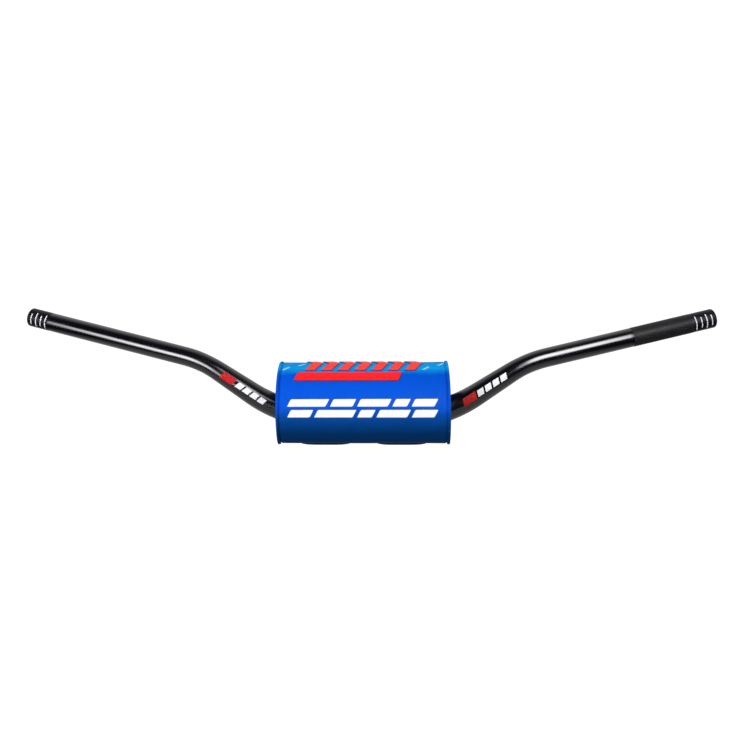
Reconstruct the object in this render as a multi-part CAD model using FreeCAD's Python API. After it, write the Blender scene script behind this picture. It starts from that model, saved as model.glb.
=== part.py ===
"""Motocross handlebar: a one-piece tapered alloy tube and the soft pad that closes round its middle.

Millimetres. The origin is the middle of the clamp zone, on the tube's axis. +X runs along the
clamp zone towards the rider's left hand, +Y towards the rider and +Z up, as the bar is mounted.

The tube's centre line is straight through the clamps, bends up, and bends out again into the
grips. It is a wide tube in the middle and narrows to the grip size along the rising part.
The pad is a foam block, slit underneath and split over the tube. A printed cover wraps it, a
welded panel closes each end, and two hook-and-loop flaps hold the slit shut.
"""

import FreeCAD, Part
import math
import os

from FreeCAD import Vector

# Tube: places of the bends and the ends, on the rider's left
overall_width = 810.0
inner_bend_x = 92.0
outer_bend_x = 188.0
outer_bend_sweep = 18.0
outer_bend_rise = 60.5
end_sweep = 63.0
end_rise = 99.0
inner_bend_radius = 150.0
outer_bend_radius = 115.0

# Tube: diameters, walls and the length along the tube over which it narrows
clamp_diameter = 28.6
grip_diameter = 22.2
clamp_wall = 4.3
grip_wall = 3.5
taper_start = 96.0
taper_length = 100.0
end_round = 1.5
bore_chamfer = 0.8

# Pad: section, seen along the tube. The flat base is down and the crown is up
pad_length = 193.0
pad_height = 79.0
crown_radius = 56.0
crown_half_angle = 38.0
flank_radius = 50.0
corner_radius = 17.0
tube_above_base = 17.0

# Pad: layers
cover_thickness = 1.2
end_panel_thickness = 1.2
end_panel_recess = 1.0
rim_width = 3.0
rim_proud = 1.3
rim_round = 0.9
layer_gap = 0.3
tube_clearance = 0.4
panel_hole_clearance = 1.5
slit_width = 5.0
slit_offset = 1.3

# Pad: closure flaps under the base
flap_end_margin = 24.0
flap_middle_margin = 14.0
flap_thickness = 1.0
flap_rise = 3.0
flap_root_width = 14.0
flap_back_margin = 12.0
tape_thickness = 0.6
tape_width = 22.0
tape_margin = 4.0

# Print and raised badges. Margins are from the pad's right and left ends, and down is the
# distance round the section from the top of the crown
badge_thickness = 1.0
print_thickness = 0.3
print_gap = 0.05
stripe_margins = (19.0, 56.5)
stripe_down = 16.0
stripe_height = 13.5
stripe_lean = 4.5
chevron_count = 7
chevron_margins = (30.5, 29.5)
chevron_gap = 6.5
chevron_point = 8.0
chevron_down = -22.0
chevron_height = 35.0
block_margins = (12.0, 17.8)
block_down = 51.0
block_height = 9.6
block_lean = 5.0
block_gap = 3.6
block_row_gap = 2.2
block_shares_upper = (5, 3, 4, 2, 3)
block_shares_lower = (3, 5, 2, 4, 3)
dash_margins = (5.0, 4.0)
dash_down = 4.5
dash_step_along = 17.0
dash_step_up = 10.0
dash_length = 3.2
dash_height = 6.5
dash_lean = 6.0

# Print on the arms, along the rising part from the corner of the inner bend
arm_print_thickness = 0.2
arm_print_facing = 25.0
arm_print_lean = 2.5
arm_red_length = 17.0
arm_red_height = 9.0
arm_white_count = 4
arm_white_pitch = 10.2
arm_white_length = 8.0
arm_white_height = 7.0
left_red_start = 27.5
left_white_start = 46.5
right_white_start = 25.0
right_red_start = 67.5

# Room for cuts that go right through, and the difference below which two sizes are the same
far = 2 * overall_width
cut_margin = 1.0
same_size = 1e-3

half_width = overall_width / 2
half_pad = pad_length / 2


def bend(before, corner, after, radius):
    """The arc that rounds a corner of the centre line."""
    back = (before - corner).normalize()
    ahead = (after - corner).normalize()
    half_angle = back.getAngle(ahead) / 2
    setback = radius / math.tan(half_angle)
    towards_centre = (back + ahead).normalize()
    centre = corner + towards_centre * (radius / math.sin(half_angle))
    middle = centre - towards_centre * radius
    return Part.Arc(corner + back * setback, middle, corner + ahead * setback).toShape()


def edge_end(edge):
    """The point where an edge ends."""
    return edge.valueAt(edge.LastParameter)


def centre_line():
    """The corners of the centre line, rounded: straights and arcs from the middle to the left end."""
    middle = Vector(0, 0, 0)
    inner = Vector(inner_bend_x, 0, 0)
    outer = Vector(outer_bend_x, outer_bend_sweep, outer_bend_rise)
    end = Vector(half_width, end_sweep, end_rise)
    inner_bend = bend(middle, inner, outer, inner_bend_radius)
    outer_bend = bend(inner, outer, end, outer_bend_radius)
    clamp_zone = Part.makeLine(middle, inner_bend.valueAt(inner_bend.FirstParameter))
    rise = Part.makeLine(edge_end(inner_bend), outer_bend.valueAt(outer_bend.FirstParameter))
    grip = Part.makeLine(edge_end(outer_bend), end)
    return [clamp_zone, inner_bend, rise, outer_bend, grip]


def cut_path(edges, start, end):
    """The stretch of a path between two lengths along it."""
    pieces = []
    passed = 0.0
    for edge in edges:
        low = max(start - passed, 0.0)
        high = min(end - passed, edge.Length)
        if high - low > same_size:
            first = edge.getParameterByLength(low)
            last = edge.getParameterByLength(high)
            pieces.append(edge.Curve.toShape(first, last))
        passed += edge.Length
    return pieces


def disc_wire(edge, at_end, radius):
    """A circle square to a path at one end of an edge."""
    parameter = edge.LastParameter if at_end else edge.FirstParameter
    return Part.Wire(Part.makeCircle(radius, edge.valueAt(parameter), edge.tangentAt(parameter)))


def steady_run(edge, radius):
    """A round bar of one size along a straight or an arc."""
    start = edge.valueAt(edge.FirstParameter)
    along = edge.tangentAt(edge.FirstParameter)
    if isinstance(edge.Curve, Part.Line):
        return Part.makeCylinder(radius, edge.Length, start, along)
    disc = Part.Face(disc_wire(edge, False, radius))
    turn = math.degrees(edge.Length / edge.Curve.Radius)
    centre = edge.Curve.Center
    axis = (start - centre).cross(along)
    return disc.revolve(centre, axis, turn)


def narrowing_run(edges, start_radius, end_radius):
    """A round bar that narrows steadily along a path."""
    profiles = [disc_wire(edges[0], False, start_radius), disc_wire(edges[-1], True, end_radius)]
    return Part.Wire(edges).makePipeShell(profiles, True, False)


def mirrored(shape):
    """The same shape on the rider's right."""
    return shape.mirror(Vector(0, 0, 0), Vector(1, 0, 0))


def bar_shape(middle_radius, end_radius):
    """The whole bar as a solid, wide in the middle and narrow at the ends."""
    path = centre_line()
    whole = sum(edge.Length for edge in path)
    narrow_from = taper_start + taper_length
    runs = [steady_run(edge, middle_radius) for edge in cut_path(path, 0.0, taper_start)]
    runs.append(narrowing_run(cut_path(path, taper_start, narrow_from), middle_radius, end_radius))
    runs += [steady_run(edge, end_radius) for edge in cut_path(path, narrow_from, whole)]
    both_sides = runs + [mirrored(run) for run in runs]
    return both_sides[0].multiFuse(both_sides[1:]).removeSplitter().Solids[0]


def end_edges(solid, radius):
    """The circles of one radius at the two ends of a bar."""
    found = []
    for edge in solid.Edges:
        if not isinstance(edge.Curve, Part.Circle) or abs(edge.Curve.Radius - radius) > same_size:
            continue
        if abs(edge.Curve.Center.x) > half_width - end_round:
            found.append(edge)
    return found


def handlebar_tube():
    """The alloy tube: outside less bore, with rounded ends and a chamfered mouth."""
    clamp_radius = clamp_diameter / 2
    grip_radius = grip_diameter / 2
    outside = bar_shape(clamp_radius, grip_radius)
    bore = bar_shape(clamp_radius - clamp_wall, grip_radius - grip_wall)
    tube = outside.cut(bore)
    tube = tube.makeFillet(end_round, end_edges(tube, grip_radius))
    return tube.makeChamfer(bore_chamfer, end_edges(tube, grip_radius - grip_wall))


def section_point(centre, radius, angle):
    """A point of an arc in the pad's section. The angle is from up, and positive to the front."""
    return centre + Vector(0, -math.sin(angle), math.cos(angle)) * radius


def section_centres():
    """Centres of the crown, front flank and front corner, and the angle where flank meets corner."""
    base = -tube_above_base
    crown = Vector(0, 0, base + pad_height - crown_radius)
    join = math.radians(crown_half_angle)
    flank = section_point(crown, crown_radius - flank_radius, join)
    corner_z = base + corner_radius
    reach = flank_radius - corner_radius
    corner = Vector(0, flank.y - math.sqrt(reach ** 2 - (corner_z - flank.z) ** 2), corner_z)
    meet = math.atan2(flank.y - corner.y, corner.z - flank.z)
    return crown, flank, corner, meet


def arc_between(centre, radius, start, end):
    """An arc of the pad's section from one angle to another."""
    points = [section_point(centre, radius, a) for a in (start, (start + end) / 2, end)]
    return Part.Arc(*points).toShape()


def other_flank(point):
    """The same point on the rider's side of the pad."""
    return Vector(point.x, -point.y, point.z)


def pad_outline(inset):
    """The pad's section as a closed wire, drawn in by an inset, or out by a negative one."""
    crown, flank, corner, meet = section_centres()
    join = math.radians(crown_half_angle)
    base_front = section_point(corner, corner_radius - inset, math.pi)
    edges = [
        arc_between(other_flank(corner), corner_radius - inset, -math.pi, -meet),
        arc_between(other_flank(flank), flank_radius - inset, -meet, -join),
        arc_between(crown, crown_radius - inset, -join, join),
        arc_between(flank, flank_radius - inset, join, meet),
        arc_between(corner, corner_radius - inset, meet, math.pi),
        Part.makeLine(base_front, other_flank(base_front)),
    ]
    return Part.Wire(edges)


def pad_slab(inset, start_x, end_x):
    """The pad's section, inset, as a solid from one place along X to another."""
    face = Part.Face(pad_outline(inset))
    face.translate(Vector(start_x, 0, 0))
    return face.extrude(Vector(end_x - start_x, 0, 0))


def pad_shell(outer_inset, inner_inset, start_x, end_x):
    """The layer between two insets of the pad's section."""
    return pad_slab(outer_inset, start_x, end_x).cut(pad_slab(inner_inset, start_x, end_x))


def slit():
    """The cut up through the pad's base, by which it goes over the tube."""
    depth = tube_above_base + rim_proud + cut_margin
    corner = Vector(-pad_length, slit_offset - slit_width / 2, -depth)
    return Part.makeBox(2 * pad_length, slit_width, depth, corner)


def tube_channel(clearance):
    """The room for the tube through the pad."""
    path = cut_path(centre_line(), 0.0, taper_start + clamp_diameter)
    runs = [steady_run(edge, clamp_diameter / 2 + clearance) for edge in path]
    both_sides = runs + [mirrored(run) for run in runs]
    return both_sides[0].multiFuse(both_sides[1:])


def pad_foam_core():
    """The foam block, with its channel and slit."""
    end_x = half_pad - end_panel_recess - end_panel_thickness - layer_gap
    block = pad_slab(cover_thickness + layer_gap, -end_x, end_x)
    return block.cut(tube_channel(tube_clearance)).cut(slit())


def pad_cover():
    """The printed cover, open along the slit."""
    end_x = half_pad - rim_width
    return pad_shell(0, cover_thickness, -end_x, end_x).cut(slit())


def pad_end_panel():
    """The panel inside the left rim, with a hole for the tube."""
    outer_x = half_pad - end_panel_recess
    panel = pad_slab(cover_thickness + layer_gap, outer_x - end_panel_thickness, outer_x)
    return panel.cut(tube_channel(panel_hole_clearance)).cut(slit())


def pad_rim():
    """The welded rim that stands proud round the left end, with its outside edges rounded."""
    block = pad_slab(-rim_proud, half_pad - rim_width, half_pad)
    round_edges = [e for e in block.Edges if abs(e.tangentAt(e.FirstParameter).x) < same_size]
    block = block.makeFillet(rim_round, round_edges)
    return block.cut(pad_slab(cover_thickness, half_pad - pad_length, pad_length)).cut(slit())


def under_pad(outer_inset, inner_inset, start_x, length, front_y, back_y, top_z):
    """A piece of a layer under the pad, between two places front to back and below a height."""
    layer = pad_shell(outer_inset, inner_inset, start_x, start_x + length)
    keep = Part.makeBox(length, back_y - front_y, top_z + far, Vector(start_x, front_y, -far))
    return layer.common(keep)


def flap_back():
    """How far the flaps and tapes reach under the pad, on the rider's side."""
    return -section_centres()[2].y - flap_back_margin


def flap_length():
    """The left flap's length along the pad, between its two margins."""
    return half_pad - flap_end_margin - flap_middle_margin


def closure_flap():
    """The left flap: welded under the front edge of the pad, and wrapped to the back."""
    stack = 2 * tape_thickness
    reach = (flap_middle_margin, flap_length(), -far)
    top_z = flap_rise - tube_above_base
    wrap = under_pad(-stack - flap_thickness, -stack, *reach, flap_back(), top_z)
    root_end = section_centres()[2].y + flap_root_width
    root = under_pad(-stack, 0, *reach, root_end, top_z)
    return wrap.fuse(root).removeSplitter().Solids[0]


def tape(layer):
    """One of the left flap's two tapes. Layer 0 is on the cover and layer 1 is on the flap."""
    start_x = flap_middle_margin + tape_margin
    length = flap_length() - 2 * tape_margin
    outer = -(layer + 1) * tape_thickness
    inner = -layer * tape_thickness
    return under_pad(outer, inner, start_x, length, flap_back() - tape_width, flap_back(), 0)


def surface_place(x, down):
    """A point of the cover and its outward direction, by X and the distance round from the top."""
    crown, flank, _, _ = section_centres()
    join = math.radians(crown_half_angle)
    crown_reach = crown_radius * join
    if abs(down) <= crown_reach:
        angle = down / crown_radius
        centre = crown
        radius = crown_radius
    else:
        angle = math.copysign(join + (abs(down) - crown_reach) / flank_radius, down)
        centre = flank if down > 0 else other_flank(flank)
        radius = flank_radius
    outward = Vector(0, -math.sin(angle), math.cos(angle))
    return centre + outward * radius + Vector(x, 0, 0), outward


def field(corners, thickness):
    """A flat-edged field that lies on the cover. Corners are pairs of X and distance from the top."""
    middle_down = (min(c[1] for c in corners) + max(c[1] for c in corners)) / 2
    middle, outward = surface_place(0, middle_down)
    places = [surface_place(*corner)[0] for corner in corners]
    flat = [p - outward * ((p - middle).dot(outward) + corner_radius) for p in places]
    prism = Part.Face(Part.makePolygon(flat + flat[:1])).extrude(outward * (2 * corner_radius))
    layer = pad_shell(-print_gap - thickness, -print_gap, -half_pad, half_pad)
    return layer.common(prism).Solids[0]


def leaning_box(start, down, length, height, lean):
    """Corners of a block whose upper edge is shifted along by its lean."""
    low = down + height
    return [(start + lean, down), (start + length + lean, down), (start + length, low), (start, low)]


def stripe_badge():
    """The long raised stripe on the front of the crown."""
    start = -half_pad + stripe_margins[0]
    length = pad_length - sum(stripe_margins)
    return field(leaning_box(start, stripe_down, length, stripe_height, stripe_lean), badge_thickness)


def chevron_badges():
    """The row of raised chevrons along the top of the crown."""
    low = chevron_down + chevron_height
    middle = (chevron_down + low) / 2
    row = pad_length - sum(chevron_margins) - chevron_point
    pitch = (row + chevron_gap) / chevron_count
    badges = []
    for number in range(chevron_count):
        back = -half_pad + chevron_margins[0] + number * pitch
        front = back + pitch - chevron_gap
        corners = [(back, chevron_down), (front, chevron_down), (front + chevron_point, middle)]
        corners += [(front, low), (back, low), (back + chevron_point, middle)]
        badges.append(field(corners, badge_thickness))
    return Part.makeCompound(badges)


def block_row(down, shares):
    """A row of leaning blocks that share the pad's length between them."""
    row = pad_length - sum(block_margins)
    unit = (row - block_gap * (len(shares) - 1)) / sum(shares)
    blocks = []
    x = -half_pad + block_margins[0]
    for share in shares:
        corners = leaning_box(x, down, share * unit, block_height, block_lean)
        blocks.append(field(corners, print_thickness))
        x += share * unit + block_gap
    return blocks


def front_print():
    """Two rows of leaning blocks printed on the front of the pad."""
    lower_down = block_down + block_height + block_row_gap
    upper = block_row(block_down, block_shares_upper)
    return Part.makeCompound(upper + block_row(lower_down, block_shares_lower))


def top_dashes():
    """The short leaning dashes printed on the crown, two near each end."""
    pair_length = dash_step_along + dash_length + dash_lean
    right_start = -half_pad + dash_margins[0]
    left_start = half_pad - dash_margins[1] - pair_length
    dashes = []
    for start in (right_start, left_start):
        for step in range(2):
            x = start + step * dash_step_along
            down = dash_down - step * dash_step_up
            corners = leaning_box(x, down, dash_length, dash_height, dash_lean)
            dashes.append(field(corners, print_thickness))
    return Part.makeCompound(dashes)


def arm_layer():
    """The thin layer over the tube that its print is cut from."""
    clamp_radius = clamp_diameter / 2 + print_gap
    grip_radius = grip_diameter / 2 + print_gap
    ink = arm_print_thickness
    return bar_shape(clamp_radius + ink, grip_radius + ink).cut(bar_shape(clamp_radius, grip_radius))


def arm_field(layer, start, length, height, lean):
    """A leaning block of print on the front of the left arm."""
    corner = Vector(inner_bend_x, 0, 0)
    along = (Vector(outer_bend_x, outer_bend_sweep, outer_bend_rise) - corner).normalize()
    facing = math.radians(arm_print_facing)
    outward = Vector(0, -math.cos(facing), math.sin(facing))
    outward = (outward - along * outward.dot(along)).normalize()
    up = outward.cross(along)
    box = leaning_box(start, -height / 2, length, height, lean)
    points = [corner + along * distance - up * down for distance, down in box]
    prism = Part.Face(Part.makePolygon(points + points[:1])).extrude(outward * clamp_diameter)
    return layer.common(prism).Solids[0]


def arm_red(layer, start, lean):
    """The red block on one arm."""
    return arm_field(layer, start, arm_red_length, arm_red_height, lean)


def arm_white(layer, start, lean):
    """The row of white blocks on one arm."""
    size = (arm_white_length, arm_white_height, lean)
    starts = [start + number * arm_white_pitch for number in range(arm_white_count)]
    return Part.makeCompound([arm_field(layer, place, *size) for place in starts])


def all_parts():
    """Every piece of the handlebar by name."""
    layer = arm_layer()
    lean = arm_print_lean
    parts = {
        "handlebar_tube": handlebar_tube(),
        "pad_foam_core": pad_foam_core(),
        "pad_cover": pad_cover(),
        "top_badge_stripe": stripe_badge(),
        "top_badge_chevrons": chevron_badges(),
        "top_print_dashes": top_dashes(),
        "front_print_blocks": front_print(),
        "arm_print_red_left": arm_red(layer, left_red_start, lean),
        "arm_print_white_left": arm_white(layer, left_white_start, lean),
        "arm_print_red_right": mirrored(arm_red(layer, right_red_start, -lean)),
        "arm_print_white_right": mirrored(arm_white(layer, right_white_start, -lean)),
    }
    left_side = {
        "pad_end_panel": pad_end_panel(),
        "pad_rim": pad_rim(),
        "closure_flap": closure_flap(),
        "loop_tape": tape(0),
        "hook_tape": tape(1),
    }
    for name, shape in left_side.items():
        parts[name + "_left"] = shape
        parts[name + "_right"] = mirrored(shape)
    return parts


os.makedirs("parts", exist_ok=True)
for node, shape in all_parts().items():
    shape.exportStep(os.path.join("parts", node + ".step"))
    print(node, "solids", len(shape.Solids), "volume", round(shape.Volume, 1), "valid", shape.isValid())
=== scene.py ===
"""A motocross handlebar with its bar pad, dressed for the picture.

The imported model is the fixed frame, and this file gives each of its parts a shape and a finish to look
at. It is laid out as an add-on: the sizes and colours are properties, each piece or group of like pieces
is made by an operator, and a panel in the 3D view's sidebar lists them. Metres throughout. The origin is
the middle of the clamp zone, +X runs to the rider's left hand, +Y to the rider and +Z up.

Two maps place everything. The bar's map takes a distance along the tube and an angle round it. The
pad's map takes a distance along the pad and a distance round its section from the top of the crown,
positive to the front, and the height above the cover. Print, badges and tapes use the map of what
carries them, so they lie on it wherever it bends or swells.
"""

import math

import bpy
import numpy as np
from bpy.props import FloatProperty, FloatVectorProperty, IntProperty, PointerProperty
from bpy.types import Operator, Panel, PropertyGroup
from mathutils import Matrix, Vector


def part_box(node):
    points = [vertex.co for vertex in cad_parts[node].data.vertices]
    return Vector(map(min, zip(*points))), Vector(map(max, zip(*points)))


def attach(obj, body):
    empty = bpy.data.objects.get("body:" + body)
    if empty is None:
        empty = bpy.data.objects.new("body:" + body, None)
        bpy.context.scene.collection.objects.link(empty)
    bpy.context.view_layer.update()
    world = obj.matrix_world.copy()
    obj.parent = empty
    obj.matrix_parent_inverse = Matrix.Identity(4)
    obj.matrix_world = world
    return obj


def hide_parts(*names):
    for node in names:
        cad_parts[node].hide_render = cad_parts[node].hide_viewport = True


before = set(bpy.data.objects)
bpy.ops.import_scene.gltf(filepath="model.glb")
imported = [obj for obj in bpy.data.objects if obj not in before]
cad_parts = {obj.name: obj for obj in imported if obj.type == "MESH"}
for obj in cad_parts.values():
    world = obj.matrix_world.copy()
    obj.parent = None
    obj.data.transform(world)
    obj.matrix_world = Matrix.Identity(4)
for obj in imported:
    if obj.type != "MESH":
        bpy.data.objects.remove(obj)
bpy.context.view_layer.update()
cover_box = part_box("pad_cover")
rim_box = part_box("pad_rim_left")

bl_info = {
    "name": "Motocross handlebar",
    "version": (1, 0, 0),
    "blender": (4, 5, 0),
    "location": "3D View > Sidebar > Handlebar",
    "description": "Makes a tapered motocross handlebar, its soft bar pad and a plain studio",
    "category": "Add Mesh",
}

FULL_TURN = 2 * math.pi
SIDES = {"left": 1, "right": -1}


# Properties


def length(name, text, metres):
    """A length property, in metres."""
    return FloatProperty(
        name=name, description=text, default=metres, unit="LENGTH", subtype="DISTANCE", precision=5
    )


def angle(name, text, degrees):
    """An angle property, given in degrees."""
    return FloatProperty(name=name, description=text, default=math.radians(degrees), subtype="ANGLE")


def power(name, text, watts):
    """The power of a light."""
    return FloatProperty(name=name, description=text, default=watts, unit="POWER")


def number(name, text, value):
    """A plain number property."""
    return FloatProperty(name=name, description=text, default=value)


def place(name, text, point):
    """A point property, in metres."""
    return FloatVectorProperty(
        name=name, description=text, default=point, size=3, unit="LENGTH", subtype="XYZ", precision=5
    )


def colour(name, text, rgb):
    """A colour property, in linear light."""
    return FloatVectorProperty(
        name=name, description=text, default=(*rgb, 1.0), size=4, subtype="COLOR", min=0.0, max=1.0
    )


class BarSizes(PropertyGroup):
    """Sizes of the tube and its knurl."""

    inner_corner: place("Inner bend", "Corner of the centre line at the inner bend", (0.092, 0.0, 0.0))
    outer_corner: place("Outer bend", "Corner at the outer bend", (0.188, 0.018, 0.0605))
    end: place("End", "Where the centre line ends", (0.405, 0.063, 0.099))
    inner_radius: length("Inner radius", "Radius of the inner bend's centre line", 0.150)
    outer_radius: length("Outer radius", "Radius of the outer bend's centre line", 0.115)
    clamp_radius: length("Clamp radius", "Radius of the tube in the middle", 0.0143)
    grip_radius: length("Grip radius", "Radius of the tube at the grips", 0.0111)
    clamp_wall: length("Clamp wall", "Wall of the tube in the middle", 0.0043)
    grip_wall: length("Grip wall", "Wall of the tube at the grips", 0.0035)
    taper_start: length("Taper start", "Distance along the tube where it begins to narrow", 0.096)
    taper_length: length("Taper length", "Distance over which it narrows", 0.100)
    end_round: length("End rounding", "Radius of the rounded outside edge at each end", 0.0015)
    mouth_chamfer: length("Mouth chamfer", "Width of the chamfer at the mouth of the bore", 0.0008)
    knurl_start: length("Knurl start", "Distance from the end where the knurl stops", 0.0278)
    knurl_length: length("Knurl length", "Length of the knurl on the left grip", 0.0724)
    knurl_height: length("Knurl height", "Height of the knurl's points", 0.0005)
    knurl_count: IntProperty(name="Knurl count", description="Points round the tube", default=26)


class PadSizes(PropertyGroup):
    """Sizes of the pad's section, layers and soft shape."""

    half_length: length("Half length", "Half the pad's length over its rims", rim_box[1].x)
    base: length("Base", "Height of the flat base", cover_box[0].z)
    crown: length("Crown", "Height of the top of the crown", cover_box[1].z)
    crown_radius: length("Crown radius", "Radius of the crown's arc", 0.056)
    crown_angle: angle("Crown angle", "Half the angle of the crown's arc", 38.0)
    flank_radius: length("Flank radius", "Radius of the front and back", 0.050)
    corner_radius: length("Corner radius", "Radius where they meet the base", 0.017)
    cover: length("Cover", "Thickness of the cover", 0.0012)
    layer_gap: length("Layer gap", "Room between the cover and the foam", 0.0003)
    rim_width: length("Rim width", "Width of the welded rim", 0.003)
    rim_proud: length("Rim height", "How far the rim stands proud of the cover", 0.0013)
    slit_middle: length("Slit place", "Middle of the slit, towards the rider", 0.0013)
    slit_width: length("Slit width", "Width of the slit in the base", 0.005)
    skew: number("Skew", "Turn of the soft pad on the tube, as a slope", 0.0364)
    tilt: number("Tilt", "How the pad leans along the tube, as a slope", 0.0099)
    shift: length("Shift", "How far the pad has slid along the tube", 0.00081)
    rise: length("Rise", "How far the pad has lifted on the tube", 0.0005)
    groove: length("Groove", "Depth of the valley inside each rim", 0.0008)
    pucker: length("Pucker", "Height of the puckers beside each rim", 0.00012)
    ripple: length("Ripple", "Height of the slow ripples of the cover", 0.00018)


class Colours(PropertyGroup):
    """Colours of the finishes, in linear light."""

    alloy: colour("Anodised alloy", "The tube", (0.0015, 0.0015, 0.004))
    knurl: colour("Knurled alloy", "The grooves of the knurled grip", (0.001, 0.001, 0.0015))
    # Painted highlight: the knurl's points are lighter, for wear and for the light they catch; the grooves
    # keep the dark colour.
    knurl_point_highlight: colour("Knurl points", "The worn points of the knurl", (0.060, 0.060, 0.064))
    # Painted light: the crown's blue is lighter for the light that falls on the top.
    lit_crown_blue: colour("Crown blue", "The cover on top", (0.003, 0.350, 0.830))
    royal_blue: colour("Royal blue", "The cover at the front", (0.0002, 0.084, 0.650))
    # Painted shade: the cover darkens to deep blue and then navy where it turns under, away from the light.
    # The flaps and end panels use these blues as their own colour too.
    deep_blue_and_shade: colour("Deep blue", "The cover under the print", (0.0005, 0.055, 0.280))
    navy_and_shade: colour("Navy", "The cover where it turns under", (0.0005, 0.029, 0.120))
    badge_red: colour("Badge red", "The raised stripe", (1.000, 0.006, 0.008))
    # Painted light: the chevrons' red is paler than the stripe's, for the sheen on their upward faces.
    chevron_red_lit: colour("Chevron red", "The raised chevrons", (1.000, 0.050, 0.045))
    # Painted shadow: the dark line stands for the shade round the badges' raised edges.
    red_edge_shade: colour("Red edge", "The thin dark line round the badges", (0.120, 0.004, 0.030))
    ink_red: colour("Ink red", "The red print on the arms", (0.500, 0.010, 0.014))
    outline: colour("Outline", "The thin line round the white print", (0.0005, 0.070, 0.330))
    ink_white: colour("Ink white", "The white print", (0.860, 0.870, 0.880))
    ink_pale: colour("Ink pale blue", "The dashes on the crown", (0.350, 0.660, 0.900))
    foam: colour("Foam", "The foam block", (0.035, 0.036, 0.040))
    tape: colour("Tape", "The hook and loop tapes", (0.012, 0.012, 0.013))


class StageSettings(PropertyGroup):
    """The studio round the handlebar and the camera."""

    floor_depth: length("Floor depth", "How far the floor is under the origin", 0.30)
    floor_front: length("Floor front", "How far the floor reaches to the front of the origin", 2.4)
    floor_reach: length("Floor reach", "Half the width of the floor that gloss sees in front", 0.65)
    left_power: power("Left light", "Power of the softbox at the left", 19.5)
    right_power: power("Right light", "Power of the softbox at the right", 14.5)
    # Painted highlights: the glows of cards that only reflections see, in place of the softboxes.
    left_glow: number("Left glow", "What gloss sees of the card at the left", 25.0)
    right_glow: number("Right glow", "What gloss sees of the card at the right", 26.0)
    fill_below: number("Fill below", "Soft light from straight below", 0.10)
    fill_above: number("Fill above", "Soft light from straight above", 0.60)
    room_level: number("Room", "What gloss sees of the dim room in front of the set", 0.03)
    camera_distance: length("Camera distance", "From the origin to the camera", 0.992954)
    camera_azimuth: angle("Camera azimuth", "Turn of the camera from the front, to the rider's left", 3.6429)
    camera_elevation: angle("Camera elevation", "How high the camera stands over the level", 24.6717)
    camera_tilt: angle("Camera tilt", "How far the camera looks above the origin", 3.3176)
    camera_pan: angle("Camera pan", "How far the camera looks to the right of the origin", 0.2440)
    camera_roll: angle("Camera roll", "How far the camera leans", -1.0561)
    camera_lens: number("Lens", "Focal length in millimetres", 41.943416)


# Shapes as arrays of points

# The cover's soft shape: the valley inside each rim, the puckers beside it and the slow ripples.
VALLEY_PLACE = 0.0007
VALLEY_WIDTH = 0.0011
PUCKER_WAVES = (0.0068, 0.0097, 0.0151)
PUCKER_PHASE = 1.3
PUCKER_REACH = 0.008
RIPPLE_COUNT = 5
RIPPLE_RANGES = ((8, 8, 0), (40, 55, FULL_TURN))
CALM_REACH = 0.02


def unit(vectors):
    """Each vector divided by its length."""
    return vectors / np.linalg.norm(vectors, axis=-1, keepdims=True)


def turned(vector, axis, angles):
    """A vector turned about an axis by each of many angles.

    v cos a + (axis x v) sin a + axis (axis . v) (1 - cos a)
    """
    cos = np.cos(angles)[..., None]
    sin = np.sin(angles)[..., None]
    return vector * cos + np.cross(axis, vector) * sin + axis * (vector @ axis)[..., None] * (1 - cos)


def smooth_step(x, low, high):
    """0 below low and 1 above high, and 3t^2 - 2t^3 in between."""
    t = np.clip((x - low) / (high - low), 0.0, 1.0)
    return t * t * (3 - 2 * t)


def bar_runs(bar):
    """The centre line of the left half, as straight and bent runs.

    Each corner is rounded by an arc that touches both legs at radius times the tangent of half the turn.
    A run is its length, start, direction, upright, bend axis and bend radius, which is 0 when straight.
    """
    corners = np.array([(0, 0, 0), bar.inner_corner, bar.outer_corner, bar.end], float)
    legs = unit(np.diff(corners, axis=0))
    start = corners[0]
    upright = np.array([0.0, 0.0, 1.0])
    runs = []
    for number, radius in enumerate((bar.inner_radius, bar.outer_radius)):
        before, after = legs[number], legs[number + 1]
        axis = unit(np.cross(before, after))
        turn = math.acos(before @ after)
        setback = radius * math.tan(turn / 2)
        corner = corners[number + 1]
        straight = np.linalg.norm(corner - start) - setback
        runs.append((straight, start, before, upright, axis, 0.0))
        runs.append((radius * turn, corner - before * setback, before, upright, axis, radius))
        upright = turned(upright, axis, np.array(turn))
        start = corner + after * setback
    runs.append((np.linalg.norm(corners[3] - start), start, legs[2], upright, legs[2], 0.0))
    return runs


def bar_half_length(bar):
    """The length of the centre line from the middle to one end."""
    return sum(run[0] for run in bar_runs(bar))


def bar_line(bar, along):
    """Points of the centre line, with its direction, front and upright, by distance from the middle.

    On a straight run the point is start + direction s. On an arc the start, direction and upright turn
    about the arc's axis by s / radius. Negative distances are the mirror image in X.
    """
    reach = np.abs(along)
    mirror = np.where(along < 0, -1.0, 1.0)
    point = np.zeros(along.shape + (3,))
    ahead = np.zeros_like(point)
    upright = np.zeros_like(point)
    passed = 0.0
    for number, (run, start, direction, up, axis, radius) in enumerate(bar_runs(bar)):
        here = (reach >= passed) | (number == 0)
        s = (reach - passed)[here]
        if radius:
            towards = unit(np.cross(axis, direction)) * radius
            point[here] = start + towards + turned(-towards, axis, s / radius)
            ahead[here] = turned(direction, axis, s / radius)
            upright[here] = turned(up, axis, s / radius)
        else:
            point[here] = start + direction * s[..., None]
            ahead[here] = direction
            upright[here] = up
        passed += run
    point[..., 0] *= mirror
    upright[..., 0] *= mirror
    ahead[..., 1:] *= mirror[..., None]
    return point, ahead, np.cross(ahead, upright), upright


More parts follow.
